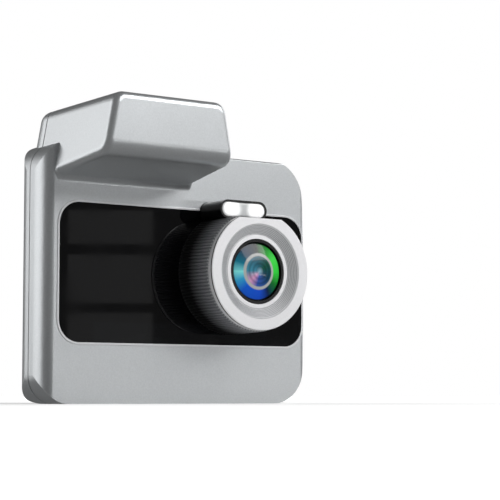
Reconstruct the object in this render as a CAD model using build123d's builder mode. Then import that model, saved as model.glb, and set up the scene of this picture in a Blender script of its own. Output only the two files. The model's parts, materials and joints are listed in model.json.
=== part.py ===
"""Dash camera: a windscreen recorder with a box-shaped head, a knurled lens sleeve and a rear screen.

Frame: millimetres, +Z up, the lens looks along -Y, +X is the lens side seen from the front.
The origin is the middle of the object's footprint, at the height of its flat base.
Depths are counted backwards from the front face, and radii and depths of turned parts from the lens axis.
"""
import os
from math import cos, pi, sin

from build123d import *

# ---------------------------------------------------------------- driving dimensions
body_left = -38.15
body_right = 38.15
body_height = 60.9
body_depth = 13.6
left_corner = 6.6
right_low_corner = 9.0
right_high_corner = 9.6
bow_radius = 70.0          # of the bow halfway up the lens side
right_low_lean = 2.6       # the lens side leans in by this much at the base
right_high_lean = 3.0      # and by this much at the top
brow_drop = 0.8            # the face's top edge rolls down by this much
brow_depth = 4.9
rear_edge_round = 2.0
side_roll = 2.6            # width of the front face's elliptical roll-off into each side
side_roll_depth = 4.9
rear_round = 4.9
wall = 1.6
front_wall = 2.2
seam_depth = 7.1
seam_gap = 0.3
lip_reach = 1.2
lip_thickness = 1.2

window_x = 0.75
lens_x = window_x + 12.7
lens_z = 31.65

hood_reach = 20.3          # how far the head stands out in front of the face
hood_x = window_x - 17.3
hood_half_width = 17.2     # at the head's front, at hood_waist_z
hood_waist_z = lens_z + 25.9
hood_draft = 0.187         # side walls lean in by this much per millimetre of height
hood_taper = 0.06         # and spread by this much per millimetre of depth
hood_top_front = lens_z + 38.4
hood_top_rear = lens_z + 37.1
hood_floor_front = lens_z + 24.0
hood_floor_slope = 0.142
hood_top_round = 3.1
hood_chin_round = 3.8
hood_edge_round = 1.7
hood_cove = 1.8

window_width = 70.0
window_height = 32.6
window_z = lens_z - 1.17
window_corner = 5.25
window_front = 0.1
window_recess = 1.2
trim_width = 0.5
trim_proud = 0.15

sleeve_base_radius = 14.84
sleeve_rim_radius = 14.5
sleeve_reach = 11.7
sleeve_bore = 11.2
sleeve_rim = 0.5           # plain band at each end of the knurl
spigot_radius = 12.2
spigot_end = 3.2
knurl_count = 110
knurl_depth = 0.35
ring_radius = 14.2
ring_bore = 11.4
ring_reach = 13.3
flat_height = 12.74        # flat on top of sleeve and ring, above the lens axis
cone_bore = 9.1
inner_ring_bore = 7.9
thread_radius = 6.0

pod_x = window_x + 10.9
pod_half_width = 6.86
pod_low = lens_z + 12.8
pod_high = lens_z + 17.3
pod_reach = 8.8
lamp_spacing = 7.2

sensor_front = 3.6
board_front = 6.0
board_thickness = 1.0
screen_x = 4.5
screen_z = 32.5
screen_width = 56.0
screen_height = 43.0

key_x = -28.3
key_z = (16.5, 24.5, 32.5, 40.5, 48.5)
key_width = 7.0
key_height = 4.2
key_gap = 0.3
key_proud = 0.6
key_travel = 0.4
power_key_z = 41.0
power_key_depth = 4.8
power_key_end = 38.15       # outer end of the side key

card_z = 24.0
card_front = 4.3
card_thickness = 1.0
card_length = 15.0
card_width = 11.0
card_end = 37.9            # outer end of the seated card

usb_x = 9.0
jack_x = 22.5
jack_radius = 1.3
jack_bore_depth = 9.0
socket_top = 60.3
socket_depth = 4.0         # middle of both top sockets

plate_x = -16.5
plate_length = 24.4
plate_depth = -3.6         # middle of the windscreen plate
rail_floor = lens_z + 35.0
rail_lip = lens_z + 36.6
rail_width = 19.0
rail_mouth = 16.0
pad_top = lens_z + 38.35

clearance = 0.1

board_x = -1.0
board_z = 31.45
board_width = 65.0
board_height = 43.9
board_screws_at = ((-22.0, 12.0), (-22.0, 49.0), (27.8, 12.0), (27.8, 49.0))
case_screws_at = ((-31.0, 5.5), (-31.0, 56.6), (28.6, 5.5), (28.6, 56.4))
speaker_x = 10.0
speaker_z = 7.0
light_z = 52.6
microphone_x = -20.0
battery_z = 57.6
battery_thickness = 5.5
face_y = (hood_reach - body_depth - key_proud) / 2
board_back = board_front + board_thickness
pod_mid_z = (pod_low + pod_high) / 2
pod_radius = (pod_high - pod_low) / 2
sensor_screws_at = ((lens_x - 13, lens_z - 9.5), (lens_x - 13, lens_z + 9.5))

lens_axis = Axis((lens_x, face_y, lens_z), (0, 1, 0))
lens_plane = Plane(origin=(lens_x, face_y, lens_z), x_dir=(1, 0, 0), z_dir=(0, 0, 1))


os.makedirs("parts", exist_ok=True)


# ---------------------------------------------------------------- helpers
def at_depth(depth):
    """Front-view sketch plane, x to the right and y up, at a depth behind the front face."""
    return Plane.XZ.offset(-(face_y + depth))


def block(x, z, width, height, front, back, radius=0.0, mode=Mode.ADD):
    """Add a block drawn in front view between two depths, with rounded corners if asked."""
    with BuildSketch(at_depth(back)) as outline:
        with Locations((x, z)):
            if radius:
                RectangleRounded(width, height, radius)
            else:
                Rectangle(width, height)
    extrude(outline.sketch, amount=back - front, mode=mode)


def disc(x, z, radius, front, back, mode=Mode.ADD):
    """Add a round drawn in front view between two depths."""
    with BuildSketch(at_depth(back)) as outline:
        with Locations((x, z)):
            Circle(radius)
    extrude(outline.sketch, amount=back - front, mode=mode)


def pill(x, z, half_width, radius, front, back, mode=Mode.ADD):
    """Add a pill drawn in front view between two depths."""
    with BuildSketch(at_depth(back)) as outline:
        with Locations((x, z)):
            SlotOverall(2 * half_width, 2 * radius)
    extrude(outline.sketch, amount=back - front, mode=mode)


def turned(*corners, mode=Mode.ADD):
    """Add a solid of revolution about the lens axis from (radius, depth) corners."""
    with BuildSketch(lens_plane) as profile:
        with BuildLine():
            Polyline(*corners, close=True)
        make_face()
    revolve(profile.sketch, axis=lens_axis, mode=mode)


def upright_block(x, depth, width, thickness, low, high, radius=0.0, mode=Mode.ADD):
    """Add a block drawn in plan view between two heights."""
    with BuildSketch(Plane.XY.offset(low)) as outline:
        with Locations((x, face_y + depth)):
            if radius:
                RectangleRounded(width, thickness, radius)
            else:
                Rectangle(width, thickness)
    extrude(outline.sketch, amount=high - low, mode=mode)


def side_disc(depth, z, radius, left, right, mode=Mode.ADD):
    """Add a round drawn in side view between two X positions."""
    with BuildSketch(Plane.YZ.offset(left)) as outline:
        with Locations((face_y + depth, z)):
            Circle(radius)
    extrude(outline.sketch, amount=right - left, mode=mode)


def upright_disc(x, depth, radius, low, high, mode=Mode.ADD):
    """Add a round drawn in plan view between two heights."""
    with BuildSketch(Plane.XY.offset(low)) as outline:
        with Locations((x, face_y + depth)):
            Circle(radius)
    extrude(outline.sketch, amount=high - low, mode=mode)


def knurl_star(radius, depth):
    """Return the toothed outline of the focus sleeve at a depth."""
    points = []
    for step in range(2 * knurl_count):
        angle = pi * step / knurl_count
        reach = radius - knurl_depth * (step % 2)
        points.append((lens_x + reach * cos(angle), lens_z + reach * sin(angle)))
    with BuildSketch(at_depth(depth)) as star:
        with BuildLine():
            Polyline(*points, close=True)
        make_face()
    return star.sketch


def glass_element(rim_radius, rim_front, rim_back, front_apex, back_apex):
    """Add a lens element turned about the lens axis from its rim and its two apex depths."""
    with BuildSketch(lens_plane) as profile:
        with BuildLine():
            Line((0, front_apex), (0, back_apex))
            TangentArc((0, back_apex), (rim_radius, rim_back), tangent=(1, 0))
            Line((rim_radius, rim_back), (rim_radius, rim_front))
            TangentArc((0, front_apex), (rim_radius, rim_front), tangent=(1, 0))
        make_face()
    revolve(profile.sketch, axis=lens_axis)


def cross_head_screw(x, z, head_radius, shank_radius, head_front, head_back, tip):
    """Add a pan-head screw driven from the rear, with a cross recess in its head."""
    disc(x, z, head_radius, head_front, head_back)
    disc(x, z, shank_radius, tip, head_front)
    block(x, z, head_radius * 1.2, 0.35, head_back - 0.5, head_back, mode=Mode.SUBTRACT)
    block(x, z, 0.35, head_radius * 1.2, head_back - 0.5, head_back, mode=Mode.SUBTRACT)


def body_form(inset=0.0, front_inset=0.0):
    """Return the body's outer form, or its cavity when inset: plan, front view and side profile crossed."""
    left, right = body_left + inset, body_right - inset
    front, back = face_y + front_inset, face_y + body_depth - inset
    low, high = inset, body_height - inset
    roll, roll_depth = side_roll - front_inset / 2, side_roll_depth - front_inset
    round_left = left_corner - inset
    with BuildPart() as form:
        with BuildSketch(Plane.XY) as plan:
            with BuildLine():
                EllipticalCenterArc((right - roll, front + roll_depth), roll, roll_depth,
                                    start_angle=270, arc_size=90)
                Polyline((right, front + roll_depth), (right, back), (left, back), (left, front + roll_depth))
                EllipticalCenterArc((left + roll, front + roll_depth), roll, roll_depth,
                                    start_angle=180, arc_size=90)
                Line((left + roll, front), (right - roll, front))
            make_face()
            fillet(plan.vertices().group_by(Axis.Y)[-1], rear_round - inset)
        extrude(amount=body_height)
        with BuildSketch(at_depth(body_depth)):
            with BuildLine():
                FilletPolyline(
                    (left, low),
                    (left, high),
                    (right - right_high_lean, high),
                    (right, lens_z),
                    (right - right_low_lean, low),
                    radius=[round_left, round_left, right_high_corner - inset, bow_radius, right_low_corner - inset],
                    close=True,
                )
            make_face()
        extrude(amount=body_depth, mode=Mode.INTERSECT)
        with BuildSketch(Plane.YZ) as profile:
            with BuildLine():
                EllipticalCenterArc((front + brow_depth, high - brow_drop), brow_depth, brow_drop,
                                    start_angle=90, arc_size=90)
                Polyline((front, high - brow_drop), (front, low), (back, low), (back, high),
                         (front + brow_depth, high))
            make_face()
            fillet(profile.vertices().group_by(Axis.X)[-1], rear_edge_round - inset / 2)
        extrude(amount=body_right + 5, both=True, mode=Mode.INTERSECT)
    return form.part


def hood_section(depth, inset):
    """Return the head's cross-section at a depth, reaching below its floor."""
    half = hood_half_width + hood_taper * (depth + hood_reach) - inset
    top = hood_top_front + (hood_top_rear - hood_top_front) * (depth + hood_reach) / (hood_reach + body_depth)
    low = lens_z + 10
    lean_low = hood_draft * (hood_waist_z - low)
    lean_top = hood_draft * (top - inset - hood_waist_z)
    with BuildSketch(at_depth(depth)) as section:
        with BuildLine():
            Polyline(
                (hood_x - half - lean_low, low),
                (hood_x + half + lean_low, low),
                (hood_x + half - lean_top, top - inset),
                (hood_x - half + lean_top, top - inset),
                close=True,
            )
        make_face()
    return section.sketch


def hood_form(inset=0.0):
    """Return the head: tapered walls trimmed by its side profile, or its cavity when inset."""
    front = face_y - hood_reach + inset
    back = face_y + body_depth - inset
    floor_front = hood_floor_front + inset
    floor_back = floor_front - hood_floor_slope * (face_y - front)
    ceiling = hood_top_front + 5
    foot = floor_back - 4
    with BuildPart() as form:
        loft([hood_section(-hood_reach - 1, inset), hood_section(body_depth, inset)])
        with BuildSketch(Plane.YZ) as side:
            with BuildLine():
                Polyline(
                    (front, floor_front),
                    (front, ceiling),
                    (back, ceiling),
                    (back, foot),
                    (face_y + inset, foot),
                    (face_y + inset, floor_back),
                    close=True,
                )
            make_face()
            chin = side.vertices().group_by(Axis.X)[0].sort_by(Axis.Y)[0]
            fillet(chin, hood_chin_round - inset)
            cove = side.vertices().group_by(Axis.Y)[1]
            fillet(cove, hood_cove)
        extrude(amount=60, both=True, mode=Mode.INTERSECT)
        rear_uprights = form.faces().sort_by(Axis.Y)[-1].edges().sort_by(Axis.X)
        fillet([rear_uprights[0], rear_uprights[-1]], rear_round - inset)
        top_rim = form.faces().sort_by(Axis.Z)[-1].edges().filter_by(lambda edge: edge.center().Y > front + 0.1)
        fillet(top_rim, hood_top_round - inset)
    return form.part


# ---------------------------------------------------------------- shells
with BuildPart() as hood_block:
    add(hood_form())
    front_rim = hood_block.faces().sort_by(Axis.Y)[0].edges()
    floor_sides = hood_block.edges().filter_by(
        lambda edge: edge.center().Y < face_y - 0.1 and edge.center().Z < hood_floor_front + 1.6
    )
    rim = (front_rim + floor_sides).filter_by(GeomType.LINE, reverse=True)
    fillet(rim, hood_edge_round)

with BuildPart() as casing:
    add(body_form())
    add(hood_block.part)

with BuildPart() as cavity:
    add(body_form(wall, front_wall))
    add(hood_form(wall))

with BuildPart() as joint_lip:
    add(body_form(wall + clearance))
    add(hood_form(wall + clearance))
    block(0, 40, 100, 100, -30, seam_depth - lip_reach, mode=Mode.SUBTRACT)
    block(0, 40, 100, 100, seam_depth + seam_gap / 2, 30, mode=Mode.SUBTRACT)

with BuildPart() as lip_root:
    add(body_form(wall - clearance))
    add(hood_form(wall - clearance))
    block(0, 40, 100, 100, -30, seam_depth + seam_gap / 2, mode=Mode.SUBTRACT)
    block(0, 40, 100, 100, seam_depth + lip_reach, 30, mode=Mode.SUBTRACT)

with BuildPart() as lip_hollow:
    add(body_form(wall + lip_thickness))
    add(hood_form(wall + lip_thickness))

with BuildPart() as front_shell:
    add(casing.part)
    add(cavity.part, mode=Mode.SUBTRACT)
    upright_block(hood_x, plate_depth, 36, 24, rail_floor - 1.4, rail_lip + 1)
    for x, z in case_screws_at:
        disc(x, z, 2.4, front_wall - 0.3, 7.0)
    block(body_left + 5, 56.6, 5, 2, front_wall, 5.5)
    for x, z in board_screws_at:
        disc(x, z, 2.0, front_wall - 0.3, board_front)
    for x, z in sensor_screws_at:
        disc(x, z, 1.6, front_wall - 0.3, sensor_front)
    for x in (hood_x - 8, hood_x + 8):
        upright_block(x, -10.5, 1.2, 9, 55.0, battery_z)
    add(casing.part, mode=Mode.INTERSECT)
    block(0, 40, 100, 100, seam_depth - seam_gap / 2, 30, mode=Mode.SUBTRACT)
    for x, z in case_screws_at:
        disc(x, z, 1.0, 3.2, 7.0, mode=Mode.SUBTRACT)
    for x, z in board_screws_at:
        disc(x, z, 0.8, 3.4, board_front, mode=Mode.SUBTRACT)
    for x, z in sensor_screws_at:
        disc(x, z, 0.6, 2.5, sensor_front, mode=Mode.SUBTRACT)
    block(window_x, window_z, window_width + 2 * trim_width, window_height + 2 * trim_width,
          -1, window_recess, window_corner + trim_width, mode=Mode.SUBTRACT)
    disc(lens_x, lens_z, spigot_radius + clearance, -1, 3, mode=Mode.SUBTRACT)
    pill(pod_x, pod_mid_z, pod_half_width + clearance, pod_radius + clearance, -1, 3, mode=Mode.SUBTRACT)
    upright_block(plate_x + 12, plate_depth, plate_length + 25, rail_width, rail_floor, rail_lip,
                  mode=Mode.SUBTRACT)
    upright_block(plate_x + 12, plate_depth, plate_length + 25, rail_mouth, rail_floor, rail_lip + 3,
                  mode=Mode.SUBTRACT)
    upright_block(usb_x, socket_depth, 8.2, 4.4, 49.9, 62, mode=Mode.SUBTRACT)
    upright_disc(jack_x, socket_depth, 2.3, 55, 62, mode=Mode.SUBTRACT)
    upright_disc(microphone_x, socket_depth, 0.6, -1, 2, mode=Mode.SUBTRACT)
    with BuildSketch(Plane.YZ.offset(30)) as side_slots:
        with Locations((face_y + card_front, card_z)):
            Rectangle(1.4, card_width + 1)
        with Locations((face_y + power_key_depth, power_key_z)):
            RectangleRounded(3.2, 8.6, 1.5)
    extrude(side_slots.sketch, amount=10, mode=Mode.SUBTRACT)
front_shell.part.label = "front_shell"
export_step(front_shell.part, "parts/front_shell.step")

with BuildPart() as rear_cover:
    add(casing.part)
    add(cavity.part, mode=Mode.SUBTRACT)
    block(0, 40, 100, 100, -30, seam_depth + seam_gap / 2, mode=Mode.SUBTRACT)
    add(joint_lip.part)
    add(lip_root.part)
    add(lip_hollow.part, mode=Mode.SUBTRACT)
    add_back = body_depth - wall - 0.2
    for x, z in case_screws_at:
        disc(x, z, 2.7, 0, seam_depth + seam_gap, mode=Mode.SUBTRACT)
        disc(x, z, 2.4, seam_depth + 0.3, add_back + 1)
        disc(x, z, 1.9, 11.4, 14, mode=Mode.SUBTRACT)
        disc(x, z, 1.1, 7, 12, mode=Mode.SUBTRACT)
    block(34, power_key_z, 10, 16, 0, seam_depth + 0.1, mode=Mode.SUBTRACT)
    block(34, card_z, 10, 16, 0, seam_depth + 0.1, mode=Mode.SUBTRACT)
    block(16, 58, 27, 6, 0, seam_depth + 0.1, mode=Mode.SUBTRACT)
    block(hood_x, rail_floor, 60, 6, 0, seam_depth + 0.1, mode=Mode.SUBTRACT)
    block(screen_x, screen_z, screen_width + 0.2, screen_height + 0.2, body_depth - 1, 15, 2.1,
          mode=Mode.SUBTRACT)
    block(screen_x, screen_z, screen_width - 6, screen_height - 5, 11, 15, 1, mode=Mode.SUBTRACT)
    for z in key_z:
        block(key_x, z, key_width + 2 * key_gap, key_height + 2 * key_gap, 11, 15, 1.3, mode=Mode.SUBTRACT)
    for step in range(-4, 5):
        block(speaker_x + 2.2 * step, speaker_z, 1.0, 4.0, 11, 15, 0.49, mode=Mode.SUBTRACT)
    disc(key_x, light_z, 0.9, 11, 15, mode=Mode.SUBTRACT)
rear_cover.part.label = "rear_cover"
export_step(rear_cover.part, "parts/rear_cover.step")

# ---------------------------------------------------------------- front window
with BuildPart() as window_trim:
    block(window_x, window_z, window_width + 2 * trim_width, window_height + 2 * trim_width,
          -trim_proud, window_recess, window_corner + trim_width)
    fillet(window_trim.faces().sort_by(Axis.Y)[0].edges(), 0.12)
    block(window_x, window_z, window_width, window_height, -1, window_recess, window_corner,
          mode=Mode.SUBTRACT)
    pill(pod_x, pod_mid_z, pod_half_width + clearance, pod_radius + clearance, -1, 3, mode=Mode.SUBTRACT)
window_trim.part.label = "window_trim"
export_step(window_trim.part, "parts/window_trim.step")

with BuildPart() as front_window:
    block(window_x, window_z, window_width, window_height, window_front, window_recess, window_corner)
    disc(lens_x, lens_z, spigot_radius + clearance, -1, 3, mode=Mode.SUBTRACT)
    pill(pod_x, pod_mid_z, pod_half_width + clearance, pod_radius + clearance, -1, 3, mode=Mode.SUBTRACT)
front_window.part.label = "front_window"
export_step(front_window.part, "parts/front_window.step")

# ---------------------------------------------------------------- lens
with BuildPart() as sleeve:
    loft([
        knurl_star(sleeve_rim_radius, -sleeve_reach + sleeve_rim),
        knurl_star(sleeve_base_radius, window_front - sleeve_rim),
    ], ruled=True)
    turned((0, -sleeve_reach), (sleeve_rim_radius, -sleeve_reach),
           (sleeve_rim_radius, -sleeve_reach + sleeve_rim), (0, -sleeve_reach + sleeve_rim))
    turned((0, window_front - sleeve_rim), (sleeve_base_radius, window_front - sleeve_rim),
           (sleeve_base_radius, window_front), (spigot_radius, window_front),
           (spigot_radius, spigot_end), (0, spigot_end))
    disc(lens_x, lens_z, sleeve_bore, -20, 5, mode=Mode.SUBTRACT)
    block(lens_x, lens_z + flat_height + 5, 40, 10, -20, window_front, mode=Mode.SUBTRACT)
sleeve.part.label = "sleeve"
export_step(sleeve.part, "parts/sleeve.step")

with BuildPart() as front_ring:
    turned((ring_bore, -ring_reach), (ring_radius - 0.3, -ring_reach), (ring_radius, -ring_reach + 0.3),
           (ring_radius, -sleeve_reach), (ring_bore, -sleeve_reach))
    block(lens_x, lens_z + flat_height + 5, 40, 10, -20, 0, mode=Mode.SUBTRACT)
front_ring.part.label = "front_ring"
export_step(front_ring.part, "parts/front_ring.step")

with BuildPart() as lens_cone:
    turned((ring_bore - 0.05, -ring_reach + 0.1), (ring_bore - 0.05, -sleeve_reach - 0.05),
           (sleeve_bore - 0.05, -sleeve_reach - 0.05), (sleeve_bore - 0.05, -10.4),
           (cone_bore, -10.4), (cone_bore, -11.9))
lens_cone.part.label = "lens_cone"
export_step(lens_cone.part, "parts/lens_cone.step")

with BuildPart() as inner_ring:
    turned((inner_ring_bore, -12.0), (cone_bore - 0.3, -12.0), (cone_bore - 0.05, -11.75),
           (cone_bore - 0.05, -10.6), (inner_ring_bore, -10.6))
inner_ring.part.label = "inner_ring"
export_step(inner_ring.part, "parts/inner_ring.step")

with BuildPart() as lens_barrel:
    turned((7.15, -11.9), (7.65, -11.9), (7.85, -11.7), (7.85, -5.5), (thread_radius, -5.5),
           (thread_radius, 1.6), (3.0, 1.6), (3.0, 0.8), (4.6, 0.8), (4.6, -4.8),
           (5.6, -4.8), (5.6, -9.6), (7.15, -9.6))
lens_barrel.part.label = "lens_barrel"
export_step(lens_barrel.part, "parts/lens_barrel.step")

with BuildPart() as front_element:
    glass_element(7.1, -11.3, -9.6, -12.9, -10.9)
front_element.part.label = "front_element"
export_step(front_element.part, "parts/front_element.step")

with BuildPart() as element_spacer:
    turned((4.8, -9.6), (5.55, -9.6), (5.55, -9.05), (4.8, -9.05))
element_spacer.part.label = "element_spacer"
export_step(element_spacer.part, "parts/element_spacer.step")

with BuildPart() as second_element:
    glass_element(5.55, -8.9, -8.0, -9.4, -7.6)
second_element.part.label = "second_element"
export_step(second_element.part, "parts/second_element.step")

with BuildPart() as aperture:
    turned((1.6, -6.8), (5.55, -6.8), (5.55, -6.5), (1.6, -6.5))
aperture.part.label = "aperture"
export_step(aperture.part, "parts/aperture.step")

with BuildPart() as rear_element:
    glass_element(4.55, -3.0, -1.6, -3.6, -1.0)
rear_element.part.label = "rear_element"
export_step(rear_element.part, "parts/rear_element.step")

with BuildPart() as lock_ring:
    turned((spigot_radius + 0.05, front_wall), (14.5, front_wall), (14.5, 3.2), (spigot_radius + 0.05, 3.2))
lock_ring.part.label = "lock_ring"
export_step(lock_ring.part, "parts/lock_ring.step")

with BuildPart() as lens_mount:
    block(lens_x, lens_z, 14, 14, 0.6, sensor_front, 1)
    disc(lens_x, lens_z, thread_radius + 0.05, 0, 2.2, mode=Mode.SUBTRACT)
    block(lens_x, lens_z, 8.0, 6.4, 2, 5, mode=Mode.SUBTRACT)
lens_mount.part.label = "lens_mount"
export_step(lens_mount.part, "parts/lens_mount.step")

with BuildPart() as ir_filter:
    disc(lens_x, lens_z, 5.9, 1.9, 2.2)
ir_filter.part.label = "ir_filter"
export_step(ir_filter.part, "parts/ir_filter.step")

with BuildPart() as image_sensor:
    block(lens_x, lens_z, 7.4, 5.8, 2.9, sensor_front)
image_sensor.part.label = "image_sensor"
export_step(image_sensor.part, "parts/image_sensor.step")

with BuildPart() as sensor_board:
    block(10.3, lens_z, 23.3, 22.6, sensor_front, sensor_front + 1, 1)
    for x, z in sensor_screws_at:
        disc(x, z, 0.7, 3, 5, mode=Mode.SUBTRACT)
sensor_board.part.label = "sensor_board"
export_step(sensor_board.part, "parts/sensor_board.step")

with BuildPart() as sensor_screws:
    for x, z in sensor_screws_at:
        cross_head_screw(x, z, 1.2, 0.55, sensor_front + 1, sensor_front + 1.4, 2.6)
sensor_screws.part.label = "sensor_screws"
export_step(sensor_screws.part, "parts/sensor_screws.step")

with BuildPart() as sensor_connector:
    block(3.5, 27.5, 3, 12, sensor_front + 1, board_front)
sensor_connector.part.label = "sensor_connector"
export_step(sensor_connector.part, "parts/sensor_connector.step")

# ---------------------------------------------------------------- lamp pod
with BuildPart() as lamp_housing:
    pill(pod_x, pod_mid_z, pod_half_width, pod_radius, -pod_reach, 1.6)
    pill(pod_x, pod_mid_z, pod_half_width - 0.45, pod_radius - 0.45, -10, -2.8, mode=Mode.SUBTRACT)
lamp_housing.part.label = "lamp_housing"
export_step(lamp_housing.part, "parts/lamp_housing.step")

with BuildPart() as lamp_board:
    pill(pod_x, pod_mid_z, pod_half_width - 0.5, pod_radius - 0.5, -3.6, -2.8)
lamp_board.part.label = "lamp_board"
export_step(lamp_board.part, "parts/lamp_board.step")

with BuildPart() as lamp_emitters:
    for side in (-0.5, 0.5):
        block(pod_x + side * lamp_spacing, pod_mid_z, 1.8, 1.8, -4.5, -3.6)
lamp_emitters.part.label = "lamp_emitters"
export_step(lamp_emitters.part, "parts/lamp_emitters.step")

with BuildPart() as lamp_diffuser:
    pill(pod_x, pod_mid_z, pod_half_width - 0.5, pod_radius - 0.5, -pod_reach - 0.1, -7.0)
    fillet(lamp_diffuser.faces().sort_by(Axis.Y)[0].edges(), 0.6)
lamp_diffuser.part.label = "lamp_diffuser"
export_step(lamp_diffuser.part, "parts/lamp_diffuser.step")

# ---------------------------------------------------------------- electronics
with BuildPart() as main_board:
    block(board_x, board_z, board_width, board_height, board_front, board_back, 3)
    for x, z in board_screws_at:
        disc(x, z, 0.9, 5, 8, mode=Mode.SUBTRACT)
main_board.part.label = "main_board"
export_step(main_board.part, "parts/main_board.step")

with BuildPart() as board_screws:
    for x, z in board_screws_at:
        cross_head_screw(x, z, 1.5, 0.75, board_back, board_back + 1.2, 3.6)
board_screws.part.label = "board_screws"
export_step(board_screws.part, "parts/board_screws.step")

with BuildPart() as case_screws:
    for x, z in case_screws_at:
        cross_head_screw(x, z, 1.7, 0.95, 11.4, 12.6, 3.4)
case_screws.part.label = "case_screws"
export_step(case_screws.part, "parts/case_screws.step")

with BuildPart() as processor:
    block(-12, 30, 14, 14, 4.8, board_front)
processor.part.label = "processor"
export_step(processor.part, "parts/processor.step")

with BuildPart() as thermal_pad:
    block(-12, 30, 12, 12, front_wall, 4.8)
thermal_pad.part.label = "thermal_pad"
export_step(thermal_pad.part, "parts/thermal_pad.step")

with BuildPart() as memory_chips:
    for x in (-24, -12):
        block(x, 42.5, 9, 7, 5.0, board_front)
memory_chips.part.label = "memory_chips"
export_step(memory_chips.part, "parts/memory_chips.step")

with BuildPart() as card_socket:
    block(card_end - card_length / 2 - 2, card_z, card_length - 2.3, card_width + 1.4, 3.2, board_front)
    block(card_end - card_length / 2 + 1, card_z, card_length + 2.2, card_width + 0.2,
          card_front - 0.6, card_front + 0.6, mode=Mode.SUBTRACT)
card_socket.part.label = "card_socket"
export_step(card_socket.part, "parts/card_socket.step")

with BuildPart() as memory_card:
    block(card_end - card_length / 2, card_z, card_length, card_width, card_front - 0.5, card_front + 0.5, 0.6)
memory_card.part.label = "memory_card"
export_step(memory_card.part, "parts/memory_card.step")

with BuildPart() as usb_socket:
    upright_block(usb_x, socket_depth, 7.7, 3.9, 50, socket_top, 0.6)
    upright_block(usb_x, socket_depth, 6.9, 3.1, socket_top - 6, socket_top + 1, 0.3, mode=Mode.SUBTRACT)
    upright_block(usb_x, socket_depth, 5.0, 0.8, socket_top - 6.5, socket_top - 0.8)
usb_socket.part.label = "usb_socket"
export_step(usb_socket.part, "parts/usb_socket.step")

with BuildPart() as av_socket:
    upright_block(jack_x, socket_depth, 6, 3.6, 50, 58.3)
    upright_disc(jack_x, socket_depth, 2.1, 58.3, socket_top)
    upright_disc(jack_x, socket_depth, jack_radius, socket_top - jack_bore_depth, socket_top + 1,
                 mode=Mode.SUBTRACT)
av_socket.part.label = "av_socket"
export_step(av_socket.part, "parts/av_socket.step")

with BuildPart() as microphone:
    upright_disc(microphone_x, socket_depth, 1.7, wall + 0.1, wall + 2.1)
microphone.part.label = "microphone"
export_step(microphone.part, "parts/microphone.step")

with BuildPart() as speaker:
    block(speaker_x, speaker_z, 20, 8, 9.0, 11.9, 2)
speaker.part.label = "speaker"
export_step(speaker.part, "parts/speaker.step")

with BuildPart() as battery:
    upright_block(hood_x, -7.0, 26, 17, battery_z, battery_z + battery_thickness, 1.5)
    fillet(battery.faces().sort_by(Axis.Z)[-1].edges(), 1)
battery.part.label = "battery"
export_step(battery.part, "parts/battery.step")

with BuildPart() as battery_foam:
    upright_block(hood_x, -7.0, 20, 12, battery_z + battery_thickness, rail_floor - 1.4)
battery_foam.part.label = "battery_foam"
export_step(battery_foam.part, "parts/battery_foam.step")

# ---------------------------------------------------------------- rear screen and keys
with BuildPart() as screen_module:
    block(screen_x, screen_z, screen_width - 1, screen_height - 0.5, 9.5, 11.9)
screen_module.part.label = "screen_module"
export_step(screen_module.part, "parts/screen_module.step")

with BuildPart() as screen_window:
    block(screen_x, screen_z, screen_width, screen_height, body_depth - 1, body_depth, 2)
screen_window.part.label = "screen_window"
export_step(screen_window.part, "parts/screen_window.step")

with BuildPart() as screen_ribbon:
    block(screen_x, 14, 14, 0.3, board_back, 9.5)
screen_ribbon.part.label = "screen_ribbon"
export_step(screen_ribbon.part, "parts/screen_ribbon.step")

for number, z in enumerate(key_z, start=1):
    with BuildPart() as key:
        block(key_x, z, key_width, key_height, 11.6, body_depth + key_proud, 1)
        fillet(key.faces().sort_by(Axis.Y)[-1].edges(), 0.4)
        block(key_x, z, key_width + 1.4, key_height + 1.4, 11.3, 11.8, 1.5)
        disc(key_x, z, 1.0, 9.0, 11.3)
    key.part.label = f"rear_key_{number}"
    export_step(key.part, f"parts/rear_key_{number}.step")

with BuildPart() as key_switches:
    for z in key_z:
        block(key_x, z, 5, 5, board_back, board_back + 1.2)
        disc(key_x, z, 1.2, board_back + 1.2, board_back + 1.5)
key_switches.part.label = "key_switches"
export_step(key_switches.part, "parts/key_switches.step")

with BuildPart() as power_key:
    with BuildSketch(Plane.YZ.offset(34.2)) as cap:
        with Locations((face_y + power_key_depth, power_key_z)):
            RectangleRounded(2.6, 8.0, 1.29)
    extrude(cap.sketch, amount=power_key_end - 34.2)
    fillet(power_key.faces().sort_by(Axis.X)[-1].edges(), 0.4)
    with BuildSketch(Plane.YZ.offset(34.0)) as flange:
        with Locations((face_y + power_key_depth, power_key_z)):
            RectangleRounded(3.8, 10.0, 1.8)
    extrude(flange.sketch, amount=0.6)
    side_disc(power_key_depth, power_key_z, 1.0, 32.9, 34.0)
power_key.part.label = "power_key"
export_step(power_key.part, "parts/power_key.step")

with BuildPart() as power_switch:
    block(29.5, power_key_z, 4, 4, 3.9, board_front)
    side_disc(power_key_depth, power_key_z, 0.6, 31.5, 32.3)
power_switch.part.label = "power_switch"
export_step(power_switch.part, "parts/power_switch.step")

with BuildPart() as light_pipe:
    disc(key_x, light_z, 0.8, 8.0, body_depth)
light_pipe.part.label = "light_pipe"
export_step(light_pipe.part, "parts/light_pipe.step")

with BuildPart() as status_light:
    block(key_x, light_z, 1.6, 0.8, board_back, board_back + 0.8)
status_light.part.label = "status_light"
export_step(status_light.part, "parts/status_light.step")

# ---------------------------------------------------------------- windscreen plate
with BuildPart() as mount_plate:
    upright_block(plate_x, plate_depth, plate_length, rail_width - 0.4, rail_floor + 0.1, rail_lip - 0.1)
    upright_block(plate_x, plate_depth, plate_length, rail_mouth - 0.4, rail_lip - 0.1, pad_top - 1)
mount_plate.part.label = "mount_plate"
export_step(mount_plate.part, "parts/mount_plate.step")

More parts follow.
